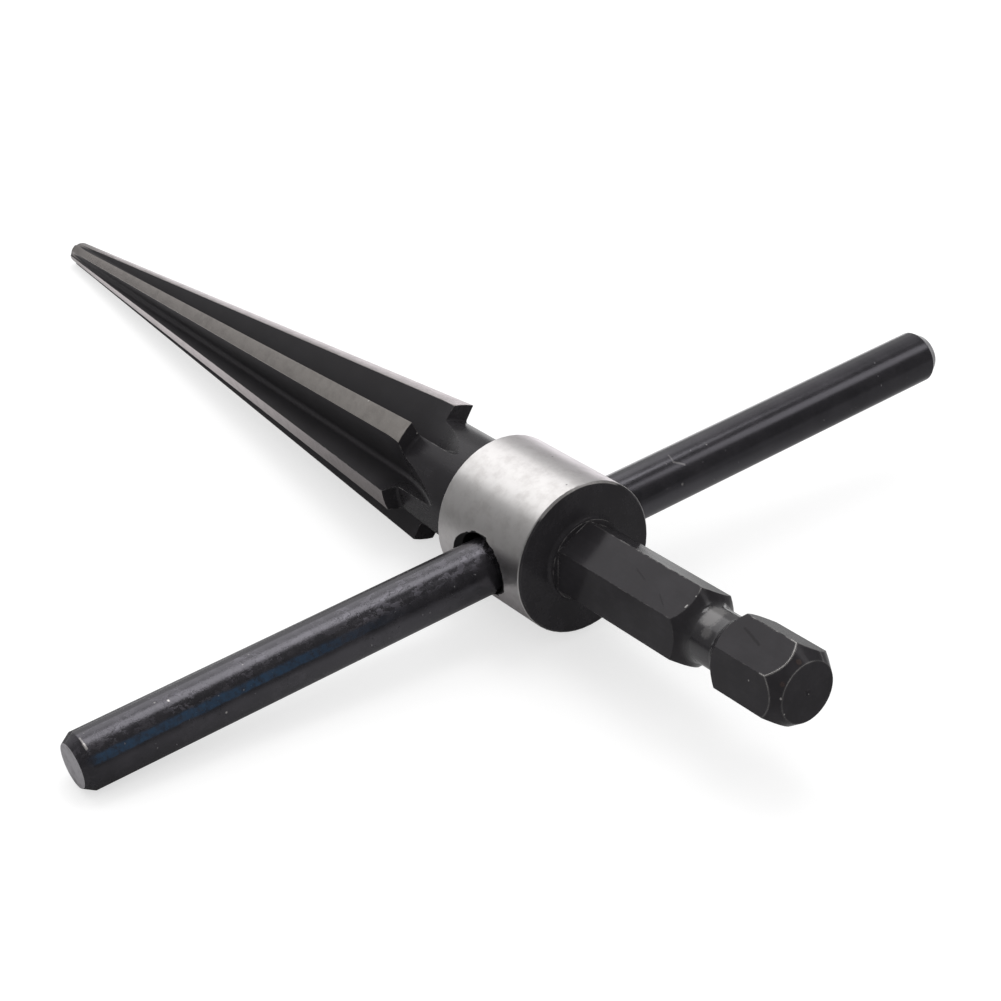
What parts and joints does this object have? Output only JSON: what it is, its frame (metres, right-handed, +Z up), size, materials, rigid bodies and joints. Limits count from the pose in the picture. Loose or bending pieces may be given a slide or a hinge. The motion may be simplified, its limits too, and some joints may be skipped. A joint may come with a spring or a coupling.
{
  "type": "t-handle taper reamer",
  "caption": "Hand taper reamer: a fluted conical blade, a collar cross-drilled for a sliding rod handle and a hexagonal quick-change shank.",
  "frame": {"origin": "on the table, under the middle of the whole tool's box as it lies at rest", "axes": "+X level, from the blade's tip to the hex shank; +Z up; the tool lies on its tip, its collar and one end of the handle"},
  "size_m": [0.1254, 0.092, 0.0147],
  "materials": {
    "tool_steel": "satin black oxide on tool steel, with the lands and the collar's rim ground bright",
    "blackened_rod": "satin black oxide on drawn steel rod, lightly scuffed, with bare ends"
  },
  "bodies": {
    "reamer": {"reamer_body": "tool_steel"},
    "handle": {"handle_rod": "blackened_rod"}
  },
  "joints": [
    {"name": "handle_slide", "type": "slide", "parent": "reamer", "child": "handle", "axis": [-0.0065, 0.9952, 0.0975], "range_m": [-0.039, 0.038]}
  ]
}
